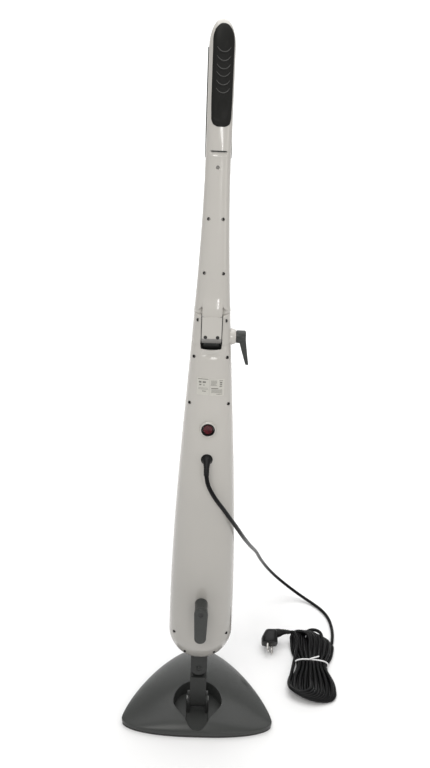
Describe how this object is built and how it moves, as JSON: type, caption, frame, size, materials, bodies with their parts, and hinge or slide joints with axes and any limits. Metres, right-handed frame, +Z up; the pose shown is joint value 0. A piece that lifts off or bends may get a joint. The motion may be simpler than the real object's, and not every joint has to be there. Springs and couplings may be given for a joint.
{
  "type": "steam mop",
  "caption": "Upright stick steam mop: triangular floor head, jointed neck, white housing with rocker switch and cord hook, folding grip handle and tied mains lead.",
  "frame": {"origin": "on the floor, on the bottom face of the sole, under the middle of the housing", "axes": "+Z up along the housing; -Y to the rear, where the switch, the lead and the hook are; +Y to the point of the head; +X to the side of the clamp lever"},
  "size_m": [0.4415, 0.4435, 1.1999],
  "materials": {
    "white_shell": "gloss",
    "dark_shell": "satin gloss",
    "black_plastic": "satin",
    "red_rocker": "gloss",
    "grip": "matt",
    "lead": "satin",
    "steel": "satin",
    "brass_pins": "bright",
    "tank": "clear blue",
    "label": "paper",
    "strip": "hooks",
    "seal": "matt",
    "alloy": "cast",
    "hose": "matt",
    "tie": "satin"
  },
  "bodies": {
    "head": {"head_cover": "dark_shell", "sole_plate": "black_plastic", "sole_seal": "seal", "grip_strips": "strip", "steam_chamber": "steel", "neck_fork": "black_plastic", "tilt_axle": "steel", "head_screws": "steel"},
    "neck": {"neck_knuckle": "dark_shell"},
    "main_body": {"neck_socket": "dark_shell", "swivel_pin": "steel", "rear_housing": "white_shell", "front_housing": "white_shell", "hinge_fork": "white_shell", "hinge_bolt": "steel", "lever_boss": "white_shell", "housing_screws": "steel", "rating_label": "label", "switch_bezel": "white_shell", "switch_body": "black_plastic", "cord_gland": "black_plastic", "power_cord": "lead", "cord_hank": "lead", "cord_tie": "tie", "power_plug": "black_plastic", "plug_pins": "brass_pins", "hook_screw": "steel", "water_tank": "tank", "filler_neck": "white_shell", "level_window": "tank", "water_pump": "steel", "boiler": "alloy", "thermostat": "black_plastic", "thermal_fuse": "white_shell", "water_hoses": "hose", "steam_pipe": "hose", "terminal_block": "black_plastic"},
    "rocker": {"power_rocker": "red_rocker"},
    "hook": {"cord_hook": "dark_shell"},
    "cap": {"filler_cap": "dark_shell"},
    "lever": {"clamp_lever": "dark_shell"},
    "upper_handle": {"handle_tongue": "white_shell", "tongue_cover": "white_shell", "tongue_screws": "steel", "handle_rear": "white_shell", "handle_front": "white_shell", "handle_screws": "steel", "rear_grip_pad": "grip", "front_grip_pad": "grip"}
  },
  "joints": [
    {"name": "neck_tilt", "type": "hinge", "parent": "head", "child": "neck", "pos_m": [0, 0, 0.036], "axis": [1, 0, 0], "range_deg": [0, 75]},
    {"name": "neck_swivel", "type": "hinge", "parent": "neck", "child": "main_body", "pos_m": [0, 0, 0.119], "axis": [0, 1, 0], "range_deg": [-40, 40]},
    {"name": "handle_fold", "type": "hinge", "parent": "main_body", "child": "upper_handle", "pos_m": [0, 0, 0.755], "axis": [1, 0, 0], "range_deg": [0, 40]},
    {"name": "lever_turn", "type": "hinge", "parent": "main_body", "child": "lever", "pos_m": [0.046, 0, 0.755], "axis": [1, 0, 0], "range_deg": [-120, 0]},
    {"name": "rocker_tip", "type": "hinge", "parent": "main_body", "child": "rocker", "pos_m": [0, -0.0305, 0.612], "axis": [1, 0, 0], "range_deg": [-8, 8]},
    {"name": "hook_turn", "type": "hinge", "parent": "main_body", "child": "hook", "pos_m": [0, -0.06, 0.287], "axis": [0, 1, 0], "range_deg": [0, 180]},
    {"name": "cap_turn", "type": "hinge", "parent": "main_body", "child": "cap", "pos_m": [0, 0.036, 0.64], "axis": [0, 1, 0], "range_deg": [0, 90]}
  ]
}
